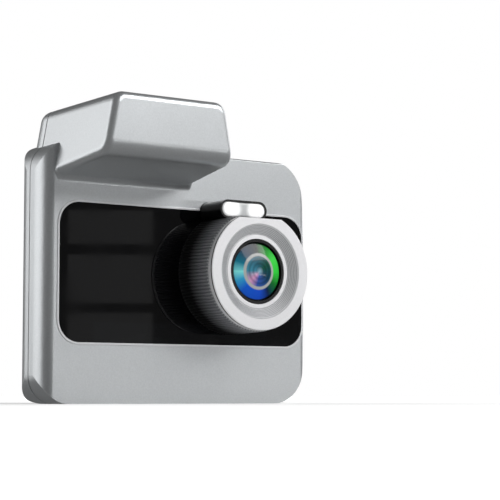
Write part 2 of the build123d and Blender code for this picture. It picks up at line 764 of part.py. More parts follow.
with BuildPart() as adhesive_pad:
    upright_block(plate_x, plate_depth, plate_length, rail_mouth - 0.4, pad_top - 1, pad_top, 1)
adhesive_pad.part.label = "adhesive_pad"
export_step(adhesive_pad.part, "parts/adhesive_pad.step")
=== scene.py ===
"""Looks of a windscreen dash camera: silver shells, gloss pane, knurled lens, lamp pod and rear keys."""

import json
import logging
import math
from dataclasses import dataclass, field
from enum import Enum
from typing import Callable, Iterable, Optional, Sequence

import bpy
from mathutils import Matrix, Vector


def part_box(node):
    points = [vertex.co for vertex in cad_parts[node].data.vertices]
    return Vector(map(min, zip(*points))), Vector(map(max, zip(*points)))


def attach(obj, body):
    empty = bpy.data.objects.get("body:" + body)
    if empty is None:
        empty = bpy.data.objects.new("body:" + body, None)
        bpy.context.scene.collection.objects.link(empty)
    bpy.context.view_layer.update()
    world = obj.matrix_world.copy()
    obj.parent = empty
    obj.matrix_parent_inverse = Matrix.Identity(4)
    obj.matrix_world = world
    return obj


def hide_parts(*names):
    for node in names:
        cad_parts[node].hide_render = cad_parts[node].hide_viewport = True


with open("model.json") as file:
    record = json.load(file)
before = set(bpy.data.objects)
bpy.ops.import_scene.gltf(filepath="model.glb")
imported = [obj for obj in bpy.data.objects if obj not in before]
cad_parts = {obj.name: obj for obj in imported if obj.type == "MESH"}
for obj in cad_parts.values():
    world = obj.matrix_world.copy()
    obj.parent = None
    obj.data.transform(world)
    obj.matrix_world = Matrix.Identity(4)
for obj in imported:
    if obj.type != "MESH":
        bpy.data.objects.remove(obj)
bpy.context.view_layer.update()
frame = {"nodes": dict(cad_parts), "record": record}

log = logging.getLogger("dash_camera")
MM = 0.001
SAME_PLACE = 1e-6          # metres within which a vertex counts as the one looked for
SAME_VERTEX = 1e-7         # metres within which two vertices are merged
Point = tuple[float, float, float]


# ---------------------------------------------------------------- small tools
def linear(hex_colour: str) -> tuple[float, float, float, float]:
    """Turn an sRGB hex value into a linear colour.

    Args:
        hex_colour: six hex digits, such as "B9BBBD".

    Returns:
        Red, green, blue and an alpha of one.
    """
    parts = []
    for start in (0, 2, 4):
        value = int(hex_colour[start:start + 2], 16) / 255
        parts.append(value / 12.92 if value <= 0.04045 else ((value + 0.055) / 1.055) ** 2.4)
    return (parts[0], parts[1], parts[2], 1.0)


def add_node(tree: bpy.types.NodeTree, kind: str, settings: Optional[dict] = None,
             links: Optional[dict] = None) -> bpy.types.Node:
    """Add a shader node with its settings and its incoming links.

    Args:
        tree: the node tree.
        kind: the node's type name, such as "ShaderNodeTexNoise".
        settings: attribute or socket values, by name.
        links: output sockets that feed this node, by input name or number.

    Returns:
        The new node.
    """
    node = tree.nodes.new(kind)
    for name, value in (settings or {}).items():
        if isinstance(name, int) or name in node.inputs:
            node.inputs[name].default_value = value
        else:
            setattr(node, name, value)
    for name, source in (links or {}).items():
        tree.links.new(source, node.inputs[name])
    return node


def ramp(tree: bpy.types.NodeTree, source: bpy.types.NodeSocket,
         stops: Sequence[tuple[float, str]]) -> bpy.types.NodeSocket:
    """Add a colour ramp.

    Args:
        tree: the node tree.
        source: the socket that drives the ramp.
        stops: (place, hex colour) pairs in rising order.

    Returns:
        The ramp's colour output.
    """
    node = add_node(tree, "ShaderNodeValToRGB", {}, {"Fac": source})
    elements = node.color_ramp.elements
    while len(elements) < len(stops):
        elements.new(0.5)
    for element, (place, colour) in zip(elements, stops):
        element.position = place
        element.color = linear(colour)
    return node.outputs["Color"]


def object_coordinates(tree: bpy.types.NodeTree, centre: Point = (0, 0, 0)) -> bpy.types.NodeSocket:
    """Add Object coordinates in millimetres.

    Args:
        tree: the node tree.
        centre: the point they count from, in metres.

    Returns:
        The coordinates' vector output.
    """
    source = add_node(tree, "ShaderNodeTexCoord").outputs["Object"]
    shift = add_node(tree, "ShaderNodeVectorMath", {"operation": "SUBTRACT", 1: centre}, {0: source})
    return add_node(tree, "ShaderNodeVectorMath", {"operation": "SCALE", "Scale": 1 / MM},
                    {0: shift.outputs[0]}).outputs[0]


def new_material(name: str) -> tuple[bpy.types.Material, bpy.types.NodeTree, bpy.types.Node]:
    """Make a material that holds only a shader and an output.

    Args:
        name: the material's name.

    Returns:
        The material, its node tree and its shader.
    """
    material = bpy.data.materials.new(name)
    material.use_nodes = True
    tree = material.node_tree
    tree.nodes.clear()
    shader = add_node(tree, "ShaderNodeBsdfPrincipled")
    add_node(tree, "ShaderNodeOutputMaterial", {}, {"Surface": shader.outputs["BSDF"]})
    return material, tree, shader


# ---------------------------------------------------------------- finishes
@dataclass(frozen=True)
class GrainedFinish:
    """A finish with one base colour, broken up by a fine grain in colour, roughness and height.

    Moulded, turned, plated and painted surfaces all start here, each with its own numbers. No grain is drawn
    finer than 0.15 mm, because a real one would be too fine to show.
    """

    name: str
    colour: str
    dark: str
    metallic: float
    roughness: float
    grain_mm: float            # size of one grain
    bump: float = 0.1
    ior: float = 1.5
    coat: float = 0.0
    stretch: Point = (1.0, 1.0, 1.0)
    fade: Optional[tuple[float, float]] = None     # depths between which painted shade sinks the colour to near black
    deepest_shade: float = 0.03        # what is left of the colour in the deepest painted shade
    cloud_per_mm: float = 0.06     # broad, barely visible unevenness over the coarse shape
    cloud_share: float = 0.35
    coat_roughness: float = 0.08

    def build(self) -> bpy.types.Material:
        """Make the material."""
        material, tree, shader = new_material(self.name)
        place = object_coordinates(tree)
        scaled = add_node(tree, "ShaderNodeVectorMath", {"operation": "MULTIPLY", 1: self.stretch},
                          {0: place})
        grain = add_node(tree, "ShaderNodeTexNoise", {"Scale": 1 / self.grain_mm, "Detail": 3.0},
                         {"Vector": scaled.outputs[0]})
        cloud = add_node(tree, "ShaderNodeTexNoise", {"Scale": self.cloud_per_mm, "Detail": 2.0},
                         {"Vector": place})
        mixed = add_node(tree, "ShaderNodeMath", {"operation": "MULTIPLY_ADD", 1: self.cloud_share},
                         {0: cloud.outputs["Fac"], 2: grain.outputs["Fac"]})
        colour = ramp(tree, mixed.outputs[0], ((0.35, self.dark), (0.95, self.colour)))
        # painted shade: the colour sinks towards black along the depth
        if self.fade:
            depth = add_node(tree, "ShaderNodeSeparateXYZ", {}, {0: place}).outputs["Y"]
            painted_shade = add_node(tree, "ShaderNodeMapRange",
                            {"From Min": self.fade[0], "From Max": self.fade[1], "To Min": 1.0,
                             "To Max": self.deepest_shade}, {"Value": depth})
            colour = add_node(tree, "ShaderNodeVectorMath", {"operation": "SCALE"},
                              {0: colour, "Scale": painted_shade.outputs["Result"]}).outputs[0]
        tree.links.new(colour, shader.inputs["Base Color"])
        rough = add_node(tree, "ShaderNodeMapRange",
                         {"To Min": self.roughness * 0.85, "To Max": self.roughness * 1.15},
                         {"Value": grain.outputs["Fac"]})
        tree.links.new(rough.outputs["Result"], shader.inputs["Roughness"])
        relief = add_node(tree, "ShaderNodeBump",
                          {"Strength": self.bump, "Distance": self.grain_mm * MM * 0.3},
                          {"Height": grain.outputs["Fac"]})
        tree.links.new(relief.outputs["Normal"], shader.inputs["Normal"])
        shader.inputs["Metallic"].default_value = self.metallic
        if self.metallic < 0.9:
            shader.inputs["IOR"].default_value = self.ior
        shader.inputs["Coat Weight"].default_value = self.coat
        shader.inputs["Coat Roughness"].default_value = self.coat_roughness
        return material


@dataclass(frozen=True)
class GlossPane:
    """Back-printed acrylic, polished: a deep black pane that mirrors the room, with a clear inner field."""

    name: str
    edge: str = "040405"
    inner: str = "08090B"
    centre: Point = (0.0, 0.0, 0.0)
    half_width: float = 25.0
    half_height: float = 19.0

    def build(self) -> bpy.types.Material:
        """Make the material: the inner field is a hair lighter and bluer than its printed border."""
        material, tree, shader = new_material(self.name)
        place = object_coordinates(tree, self.centre)
        split = add_node(tree, "ShaderNodeSeparateXYZ", {}, {0: place})
        inside = None
        for output, half in (("X", self.half_width), ("Z", self.half_height)):
            reach = add_node(tree, "ShaderNodeMath", {"operation": "ABSOLUTE"}, {0: split.outputs[output]})
            within = add_node(tree, "ShaderNodeMath", {"operation": "LESS_THAN", 1: half},
                              {0: reach.outputs[0]})
            if inside is None:
                inside = within
            else:
                inside = add_node(tree, "ShaderNodeMath", {"operation": "MULTIPLY"},
                                  {0: inside.outputs[0], 1: within.outputs[0]})
        tree.links.new(ramp(tree, inside.outputs[0], ((0.0, self.edge), (1.0, self.inner))),
                       shader.inputs["Base Color"])
        smear = add_node(tree, "ShaderNodeTexNoise", {"Scale": 0.12, "Detail": 4.0}, {"Vector": place})
        rough = add_node(tree, "ShaderNodeMapRange", {"From Min": 0.35, "From Max": 0.75, "To Min": 0.02,
                                                      "To Max": 0.05}, {"Value": smear.outputs["Fac"]})
        tree.links.new(rough.outputs["Result"], shader.inputs["Roughness"])
        shader.inputs["IOR"].default_value = 1.42
        return material


@dataclass(frozen=True)
class CoatedGlassWithPaintedReflections:
    """Multi-coated optical glass over a stepped barrel.

    The coating's reflections are painted into the colour: green and blue casts that change round the lens,
    a pale cyan highlight at the left, a pink glint inside and a pale highlight at the middle. The pale ring
    is the retainer behind it. The bands below are shares of the glass's radius.
    """

    name: str
    centre: Point
    radius_mm: float
    retainer_outside: tuple[float, float] = (0.60, 0.64)
    retainer_inside: tuple[float, float] = (0.50, 0.54)
    # band of the painted highlight at the middle, as shares of the radius
    painted_centre_highlight: tuple[float, float] = (0.02, 0.16)
    painted_centre_highlight_strength: float = 0.9
    rim: tuple[float, float] = (0.93, 0.96)
    ring_waves: float = 42.0       # radians of ripple from the middle to the edge

    def build(self) -> bpy.types.Material:
        """Make the material."""
        material, tree, shader = new_material(self.name)
        place = object_coordinates(tree, self.centre)
        split = add_node(tree, "ShaderNodeSeparateXYZ", {}, {0: place})
        x, z = split.outputs["X"], split.outputs["Z"]
        square_x = add_node(tree, "ShaderNodeMath", {"operation": "MULTIPLY"}, {0: x, 1: x})
        square = add_node(tree, "ShaderNodeMath", {"operation": "MULTIPLY_ADD"},
                          {0: z, 1: z, 2: square_x.outputs[0]})
        radius = add_node(tree, "ShaderNodeMath", {"operation": "SQRT"}, {0: square.outputs[0]})
        share = add_node(tree, "ShaderNodeMath", {"operation": "DIVIDE", 1: self.radius_mm},
                         {0: radius.outputs[0]}).outputs[0]
        angle = add_node(tree, "ShaderNodeMath", {"operation": "ARCTAN2"}, {0: z, 1: x})
        turn = add_node(tree, "ShaderNodeMapRange", {"From Min": -math.pi, "From Max": math.pi},
                        {"Value": angle.outputs[0]}).outputs["Result"]
        # painted reflections of the coating, by angle round the lens: a pale cyan highlight at the left,
        # blue below, green at the right, near black at the top
        outer = ramp(tree, turn, (
            (0.00, "7FE0DA"), (0.06, "2F9CC8"), (0.13, "0A56C8"), (0.27, "0A48BE"), (0.34, "06204A"),
            (0.42, "0A6A22"), (0.50, "2CC43A"), (0.60, "44D24C"), (0.68, "1C8A2C"), (0.76, "06120C"),
            (0.86, "0A2C4A"), (0.94, "0F6E86"), (1.00, "6FC9CF"),
        ))
        # painted reflections inside the glass: a pink glint at the lower left on dark blue and teal
        inner = ramp(tree, turn, (
            (0.00, "3B7F96"), (0.12, "C58FB4"), (0.22, "2A4FA0"), (0.40, "0B3A55"), (0.60, "0D4A3A"),
            (0.80, "1D5668"), (1.00, "3B7F96"),
        ))
        rings = add_node(tree, "ShaderNodeMath", {"operation": "SINE"}, {0: add_node(
            tree, "ShaderNodeMath", {"operation": "MULTIPLY", 1: self.ring_waves}, {0: share}).outputs[0]})
        soft_rings = add_node(tree, "ShaderNodeMapRange", {"From Min": -1.0, "To Min": 0.72, "To Max": 1.1},
                              {"Value": rings.outputs[0]})
        inner_ringed = add_node(tree, "ShaderNodeVectorMath", {"operation": "SCALE"},
                                {0: inner, "Scale": soft_rings.outputs["Result"]}).outputs[0]
        colour = outer
        for (low, high), layer in ((self.retainer_outside, None), (self.retainer_inside, inner_ringed)):
            fade = add_node(tree, "ShaderNodeMapRange",
                            {"From Min": low, "From Max": high, "To Min": 1.0, "To Max": 0.0},
                            {"Value": share})
            mix = add_node(tree, "ShaderNodeMix", {"data_type": "RGBA"})
            tree.links.new(fade.outputs["Result"], mix.inputs["Factor"])
            tree.links.new(colour, mix.inputs["A"])
            if layer is None:
                mix.inputs["B"].default_value = linear("A9ABA9")
            else:
                tree.links.new(layer, mix.inputs["B"])
            colour = mix.outputs["Result"]
        # painted highlight: a pale blue spot at the middle of the glass
        painted_centre_highlight = add_node(tree, "ShaderNodeMix", {"data_type": "RGBA", "B": linear("7FA6B8")})
        fade = add_node(tree, "ShaderNodeMapRange",
                        {"From Min": self.painted_centre_highlight[0], "From Max": self.painted_centre_highlight[1],
                         "To Min": self.painted_centre_highlight_strength, "To Max": 0.0}, {"Value": share})
        tree.links.new(fade.outputs["Result"], painted_centre_highlight.inputs["Factor"])
        tree.links.new(colour, painted_centre_highlight.inputs["A"])
        rim = add_node(tree, "ShaderNodeMix", {"data_type": "RGBA", "B": linear("0A0E10")})
        fade = add_node(tree, "ShaderNodeMapRange", {"From Min": self.rim[0], "From Max": self.rim[1]},
                        {"Value": share})
        tree.links.new(fade.outputs["Result"], rim.inputs["Factor"])
        tree.links.new(painted_centre_highlight.outputs["Result"], rim.inputs["A"])
        tree.links.new(rim.outputs["Result"], shader.inputs["Base Color"])
        shader.inputs["Roughness"].default_value = 0.25
        shader.inputs["IOR"].default_value = 1.25
        shader.inputs["Coat Weight"].default_value = 0.3
        shader.inputs["Coat Roughness"].default_value = 0.03
        return material


@dataclass(frozen=True)
class MilkyDiffuser:
    """Opal polycarbonate over two small lamps: white, with a soft bright spot over each lamp."""

    name: str
    lamps: tuple[Point, Point]
    bright_to: float = 1.2         # millimetres from a lamp's middle
    dim_from: float = 3.4
    glow_strength: float = 0.35

    def build(self) -> bpy.types.Material:
        """Make the material."""
        material, tree, shader = new_material(self.name)
        glow = None
        for lamp in self.lamps:
            place = object_coordinates(tree, lamp)
            reach = add_node(tree, "ShaderNodeVectorMath", {"operation": "LENGTH"}, {0: place})
            spot = add_node(tree, "ShaderNodeMapRange",
                            {"interpolation_type": "SMOOTHSTEP", "From Min": self.bright_to,
                             "From Max": self.dim_from,
                             "To Min": 1.0, "To Max": 0.0}, {"Value": reach.outputs["Value"]})
            if glow is None:
                glow = spot.outputs["Result"]
            else:
                glow = add_node(tree, "ShaderNodeMath", {"operation": "MAXIMUM"},
                                {0: glow, 1: spot.outputs["Result"]}).outputs[0]
        colour = ramp(tree, glow, ((0.0, "C9CBCC"), (0.6, "F4F5F5"), (1.0, "FFFFFF")))
        tree.links.new(colour, shader.inputs["Base Color"])
        tree.links.new(colour, shader.inputs["Emission Color"])
        lit = add_node(tree, "ShaderNodeMath", {"operation": "MULTIPLY", 1: self.glow_strength}, {0: glow})
        tree.links.new(lit.outputs[0], shader.inputs["Emission Strength"])
        shader.inputs["Roughness"].default_value = 0.25
        shader.inputs["IOR"].default_value = 1.58
        return material


class Finish(Enum):
    """Finishes named by the record's material slots."""

    # metal-flake lacquer on moulded ABS: soft broad highlights and a faint sparkle
    FRONT_SHELL = ("front_shell", GrainedFinish("silver_lacquered_abs", "C6C9CB", "B9BCBE", 0.80, 0.36,
                                                0.35, 0.10, coat=0.03))
    REAR_COVER = ("rear_cover", GrainedFinish("silver_lacquered_abs_rear", "C8CBCD", "BBBEC0", 0.80, 0.36,
                                              0.35, 0.10, coat=0.03))
    # bright plating on a thin moulded rim: reads as a light line
    TRIM = ("trim", GrainedFinish("plated_rim", "D2D3D5", "C6C7C9", 0.65, 0.30, 0.3, 0.03))
    # blasted with fine beads before a clear anodising: an even, near-white sheen
    RING = ("ring", GrainedFinish("bead_blasted_aluminium", "E6E6E8", "DCDCDE", 0.15, 0.40, 0.2, 0.06))
    # the cone is turned and left with its tool marks, a shade darker than the ring
    CONE = ("", GrainedFinish("turned_aluminium", "CCCDCF", "BEBFC1", 0.15, 0.45, 0.2, 0.06))
    # dyed anodising: near black, with a soft metallic edge
    BLACK_ANODISED = ("black_anodised", GrainedFinish("black_anodised_aluminium", "0B0B0C", "060607", 0.3,
                                                      0.32, 0.2, 0.05))
    # bare turned brass: warm and bright
    BRASS = ("brass", GrainedFinish("turned_brass", "B99355", "A58045", 1.0, 0.3, 0.25, 0.05))
    # moulded black plastic: deep black with a dull sheen
    BLACK_PLASTIC = ("black_plastic", GrainedFinish("black_moulded_abs", "0A0A0B", "050506", 0.0, 0.35, 0.3,
                                                    0.08))
    # filled epoxy: matt charcoal
    CHIP = ("chip", GrainedFinish("moulded_epoxy", "1A1A1B", "121213", 0.0, 0.55, 0.15, 0.15))
    # printed lacquer over the board: glossy dark green
    BOARD = ("board", GrainedFinish("green_solder_mask", "0F4A27", "0A3A1D", 0.0, 0.3, 1.2, 0.05, coat=0.4))
    # zinc plating on steel: grey with a clean metallic glint
    SCREW = ("screw", GrainedFinish("zinc_plated_steel", "8E9094", "7C7E82", 1.0, 0.33, 0.15, 0.05))
    # clear resin over the lamp's phosphor: pale yellow and glossy
    EMITTER = ("emitter", GrainedFinish("clear_lamp_cap", "F2EDC8", "E6DFA8", 0.0, 0.15, 0.4, 0.02))
    # closed-cell foam: matt dark grey with a visible cell grain
    FOAM = ("foam", GrainedFinish("closed_cell_foam", "3A3B3D", "2A2B2D", 0.0, 0.9, 0.35, 0.5))
    # rolled and tinned sheet: bright, with a faint grain along its length
    SOCKET_METAL = ("socket_metal", GrainedFinish("tin_plated_sheet", "B4B6BA", "A2A4A8", 1.0, 0.28, 0.25,
                                                  0.04, stretch=(1.0, 1.0, 0.2)))
    # moulded card body: satin black
    CARD = ("card", GrainedFinish("moulded_card_plastic", "131315", "0C0C0E", 0.0, 0.4, 0.15, 0.08))
    # laminated pouch foil: dull silver with broad creases
    BATTERY = ("battery", GrainedFinish("laminated_pouch_foil", "A9ACB0", "969A9E", 0.7, 0.38, 1.5, 0.1))
    # painted module can with its dark panel: blue-black
    SCREEN = ("screen", GrainedFinish("screen_module_can", "15161A", "0E0F12", 0.2, 0.25, 0.6, 0.03))
    # polyimide film: glossy amber
    RIBBON = ("ribbon", GrainedFinish("polyimide_film", "B5701F", "9A5C16", 0.0, 0.3, 0.6, 0.04))
    # fine spark-eroded grain on soft-touch keys
    KEY = ("key", GrainedFinish("satin_key_plastic", "27282A", "1C1D1F", 0.0, 0.42, 0.2, 0.12))
    # nylon with a moulded grain: dark and matt
    PLATE = ("plate", GrainedFinish("grained_black_nylon", "1B1B1C", "111112", 0.0, 0.5, 0.3, 0.25))
    # release liner on foam tape: pale grey and papery
    PAD = ("pad", GrainedFinish("foam_tape_liner", "C7C9CC", "B5B7BB", 0.0, 0.6, 0.5, 0.3))
    # anodised sleeve: grey at its rim, with painted shade that sinks it to near black towards its base
    SLEEVE = ("sleeve", GrainedFinish("gunmetal_anodised_aluminium_painted_shade", "A0A2A6", "86888C", 0.12, 0.42, 0.2,
                                      0.08, fade=(-8.6, -0.5)))
    # the chamfer is cut after anodising: a bright bare edge
    CHAMFER = ("", GrainedFinish("cut_aluminium_edge", "C9CACC", "B7B8BB", 0.6, 0.35, 0.2, 0.05))
    # matt white ink
    KEY_MARK = ("", GrainedFinish("white_pad_print", "D9DADC", "C8C9CB", 0.0, 0.5, 0.2, 0.05))

    def __init__(self, slot: str, recipe: GrainedFinish) -> None:
        """Keep the record's slot, or an empty name where no slot has this finish, and the recipe."""
        self.slot = slot
        self.recipe = recipe


@dataclass
class Palette:
    """Every material of the object, built once and looked up by slot or by finish."""

    built: dict[str, bpy.types.Material] = field(default_factory=dict)

    def of(self, finish: Finish) -> bpy.types.Material:
        """Return a finish's material, building it the first time.

        Args:
            finish: the finish.

        Returns:
            Its material.
        """
        if finish.name not in self.built:
            self.built[finish.name] = finish.recipe.build()
        return self.built[finish.name]

    def for_slot(self, slot: str) -> bpy.types.Material:
        """Return the material of one of the record's slots.

        Args:
            slot: the slot's name.

        Returns:
            Its material.

        Raises:
            KeyError: if no finish has that slot.
        """
        for finish in Finish:
            if finish.slot == slot:
                return self.of(finish)
        raise KeyError(slot)


# ---------------------------------------------------------------- mesh tools
def start_clean() -> None:
    """Leave edit mode and deselect everything."""
    if bpy.context.object and bpy.context.object.mode != "OBJECT":
        bpy.ops.object.mode_set(mode="OBJECT")
    bpy.ops.object.select_all(action="DESELECT")


def pick(test: Callable[[Vector], bool], mode: str = "VERT") -> None:
    """Select the active mesh's vertices or faces whose middle passes a test.

    Args:
        test: takes a middle point in metres and says whether it is wanted.
        mode: "VERT" or "FACE".
    """
    piece = bpy.context.object
    bpy.ops.mesh.select_mode(type=mode)
    bpy.ops.mesh.select_all(action="DESELECT")
    bpy.ops.object.mode_set(mode="OBJECT")
    mesh = piece.data
    if mode == "VERT":
        for vertex in mesh.vertices:
            vertex.select = test(vertex.co)
    else:
        for face in mesh.polygons:
            face.select = test(face.center)
    bpy.ops.object.mode_set(mode="EDIT")


def settle(piece: bpy.types.Object, name: str, smooth_angle: float = 30.0) -> bpy.types.Object:
    """Leave edit mode, put the object's place into its mesh, name it and smooth it.

    Args:
        piece: the object.
        name: its new name.
        smooth_angle: edges sharper than this stay sharp, in degrees.

    Returns:
        The same object.
    """
    start_clean()
    if not piece.data.polygons:
        raise ValueError(f"{name} came out with no faces")
    piece.select_set(True)
    bpy.context.view_layer.objects.active = piece
    bpy.ops.object.transform_apply(location=True, rotation=True, scale=True)
    piece.name = name
    piece.data.name = name
    bpy.ops.object.shade_smooth_by_angle(angle=math.radians(smooth_angle))
    piece.select_set(False)
    return piece


def spun(name: str, profile: Sequence[tuple[float, float]], centre: Point, steps: int) -> bpy.types.Object:
    """Model a turned piece: a vertex is extruded along a closed profile and spun about the lens axis.

    Args:
        name: the piece's name.
        profile: (radius, depth) corners in millimetres, depth counted along +Y from the centre.
        centre: a point on the axis, in metres.
        steps: faces round the piece.

    Returns:
        The object, still in edit mode.
    """
    start_clean()
    first = Vector(centre) + Vector((profile[0][0], profile[0][1], 0)) * MM
    bpy.ops.mesh.primitive_plane_add(size=MM, location=first)
    piece = bpy.context.object
    piece.name = name
    bpy.ops.object.transform_apply(location=True, rotation=True, scale=True)
    bpy.ops.object.mode_set(mode="EDIT")
    bpy.ops.mesh.select_mode(type="VERT")
    bpy.ops.mesh.select_all(action="SELECT")
    bpy.ops.mesh.merge(type="CENTER")
    for here, there in zip(profile, profile[1:]):
        step = Vector((there[0] - here[0], there[1] - here[1], 0)) * MM
        bpy.ops.mesh.extrude_vertices_move(TRANSFORM_OT_translate={"value": step})
    ends = [Vector(centre) + Vector((radius, depth, 0)) * MM for radius, depth in (profile[0], profile[-1])]
    pick(lambda point: any((point - end).length < SAME_PLACE for end in ends))
    bpy.ops.mesh.edge_face_add()
    bpy.ops.mesh.select_all(action="SELECT")
    bpy.ops.mesh.spin(steps=steps, angle=2 * math.pi, center=centre, axis=(0, 1, 0))
    bpy.ops.mesh.select_all(action="SELECT")
    bpy.ops.mesh.remove_doubles(threshold=SAME_VERTEX)
    bpy.ops.mesh.normals_make_consistent(inside=False)
    return piece


def cut_flat(height: float) -> None:
    """Slice the mesh being edited level, drop what is above and close the cut.

    Args:
        height: the height of the cut in metres.
    """
    bpy.ops.mesh.select_all(action="SELECT")
    bpy.ops.mesh.bisect(plane_co=(0, 0, height), plane_no=(0, 0, 1), use_fill=True, clear_outer=True)
    bpy.ops.mesh.select_all(action="SELECT")
    bpy.ops.mesh.normals_make_consistent(inside=False)


# ---------------------------------------------------------------- sub-assemblies
@dataclass
class Shells:
    """The lacquered shells and every carried-over piece, dressed by the record's slots."""

    palette: Palette
    own_material: tuple[str, ...] = ("window", "lens_glass", "diffuser")

    def dress(self) -> None:
        """Give each frame piece the material of its slot."""
        for part in frame["record"]["subparts"]:
            if part["material_slot"] in self.own_material:
                continue
            material = self.palette.for_slot(part["material_slot"])
            piece = frame["nodes"][part["node"]]
            piece.data.materials.clear()
            piece.data.materials.append(material)
            log.info("%s: %s", piece.name, material.name)


@dataclass
class Panes:
    """The gloss front window and the rear screen's window."""

    screen_half: tuple[float, float] = (24.5, 18.4)

    def dress(self) -> None:
        """Give both panes polished black acrylic; the rear one shows the dark screen behind it."""
        low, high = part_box("screen_window")
        middle = tuple((a + b) / 2 for a, b in zip(low, high))
        finishes = {
            "front_window": GlossPane("polished_black_acrylic"),
            "screen_window": GlossPane("screen_cover_acrylic", inner="101318", centre=middle,
                                       half_width=self.screen_half[0], half_height=self.screen_half[1]),
        }
        for node, finish in finishes.items():
            piece = frame["nodes"][node]
            piece.data.materials.clear()
            piece.data.materials.append(finish.build())
            log.info("%s: %s", node, finish.name)


@dataclass
class Lens:
    """Knurled focus sleeve, bright ring, grooved cone and coated front glass."""

    palette: Palette
    ribs: int = 110
    rib_depth: float = 0.35
    rib_steps: int = 4                 # faces round one rib
    groove_phase: tuple[float, float] = (0.4, 0.85)    # part of a rib's pitch that its groove takes
    chamfer: float = 0.4
    plain_root: float = 0.6            # unribbed length at the sleeve's base
    sleeve_rim: float = 14.5
    sleeve_base: float = 14.84
    bore: float = 11.2
    spigot: float = 12.2
    flat: float = 12.74
    ring_outer: float = 14.2
    ring_bore: float = 11.4
    cone_small: float = 9.1
    grooves: int = 6
    groove_depth: float = 0.10
    groove_share: float = 0.4          # part of the pitch that a groove takes
    cone_drop: float = 1.3             # how far the cone sinks from its wide end to its small end
    glass_bulge: float = 1.6           # how far the dome stands in front of its rim
    glass_dish: float = 0.9            # how far its back is hollowed
    dome_steps: int = 14
    pole: float = 0.001                # share of the radius that closes the dome's middle
    glass_radius: float = 7.1
    round_steps: int = 160

    def __post_init__(self) -> None:
        """Find the lens axis and the depths from the frame's own boxes."""
        low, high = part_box("lens_barrel")
        self.axis_x = (low[0] + high[0]) / 2
        self.axis_z = (low[2] + high[2]) / 2
        self.sleeve_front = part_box("sleeve")[0][1] / MM
        self.sleeve_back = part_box("sleeve")[1][1] / MM
        self.base_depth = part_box("front_window")[0][1] / MM
        self.ring_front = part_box("front_ring")[0][1] / MM
        self.centre = (self.axis_x, 0.0, self.axis_z)

    def _radius(self, point: Vector) -> float:
        """Return a point's distance from the lens axis in millimetres."""
        return math.hypot(point.x - self.axis_x, point.z - self.axis_z) / MM

    def _dress(self, piece: bpy.types.Object, materials: Iterable[bpy.types.Material], node: str) -> None:
        """Add materials, ride on the case and stand for a frame piece.

        Args:
            piece: the new piece.
            materials: materials to add to it.
            node: the frame piece that it stands for.
        """
        for material in materials:
            piece.data.materials.append(material)
        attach(piece, "case")
        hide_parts(node)
        log.info("%s stands for %s", piece.name, node)

    def knurled_sleeve(self) -> None:
        """Turn the sleeve, press its ribs in, chamfer its front and cut the flat under the lamp pod."""
        front, back, base = self.sleeve_front, self.sleeve_back, self.base_depth
        rim_end, root_end = front + self.chamfer, base - self.plain_root
        profile = (
            (self.bore, front), (self.sleeve_rim - 0.3, front), (self.sleeve_rim - 0.05, rim_end),
            (self.sleeve_rim, rim_end + 0.1),
            (self.sleeve_base, root_end), (self.sleeve_base, base), (self.spigot, base), (self.spigot, back),
            (self.bore, back),
        )
        piece = spun("focus_sleeve", profile, self.centre, self.ribs * self.rib_steps)
        centre = Vector(self.centre)
        pitch = 2 * math.pi / self.ribs

        def in_groove(point: Vector) -> bool:
            """Say whether a vertex lies in a rib's groove.

            Args:
                point: the vertex, in metres.

            Returns:
                True in a groove.
            """
            offset = point - centre
            radius = self._radius(point)
            depth = point.y / MM
            on_skin = radius > self.sleeve_rim - 0.9 and front - 0.01 < depth < root_end + 0.01
            phase = (math.atan2(offset.z, offset.x) / pitch) % 1.0
            return on_skin and self.groove_phase[0] < phase < self.groove_phase[1]

        pick(in_groove)
        shrink = 1 - self.rib_depth / self.sleeve_rim
        bpy.ops.transform.resize(value=(shrink, 1, shrink), center_override=self.centre)
        cut_flat(self.axis_z + self.flat * MM)
        piece.data.materials.append(self.palette.of(Finish.SLEEVE))
        piece.data.materials.append(self.palette.of(Finish.CHAMFER))
        pick(lambda point: point.y / MM < rim_end - 0.02, "FACE")
        piece.active_material_index = 1
        bpy.ops.object.material_slot_assign()
        settle(piece, "focus_sleeve", 24)
        self._dress(piece, (), "sleeve")

    def bright_ring(self) -> None:
        """Turn the front ring with softened edges and cut its flat."""
        front, back = self.ring_front, self.sleeve_front
        profile = (
            (self.ring_bore, front + 0.1), (self.ring_bore + 0.1, front), (self.ring_outer - 0.2, front),
            (self.ring_outer - 0.05, front + 0.08), (self.ring_outer, front + 0.2),
            (self.ring_outer - 0.3, front + 0.25), (self.ring_outer - 0.3, front + 0.5),
            (self.ring_outer, front + 0.55), (self.ring_outer, back), (self.ring_bore, back),
        )
        piece = spun("bright_ring", profile, self.centre, self.round_steps)
        cut_flat(self.axis_z + self.flat * MM)
        piece.data.materials.append(self.palette.of(Finish.RING))
        piece.data.materials.append(self.palette.of(Finish.BLACK_ANODISED))
        # the groove faces take the black anodising: painted shade in the ring's groove
        pick(lambda point: front + 0.21 < point.y / MM < front + 0.54
             and self._radius(point) > self.ring_outer - 0.4, "FACE")
        piece.active_material_index = 1
        bpy.ops.object.material_slot_assign()
        settle(piece, "bright_ring", 28)
        self._dress(piece, (), "front_ring")

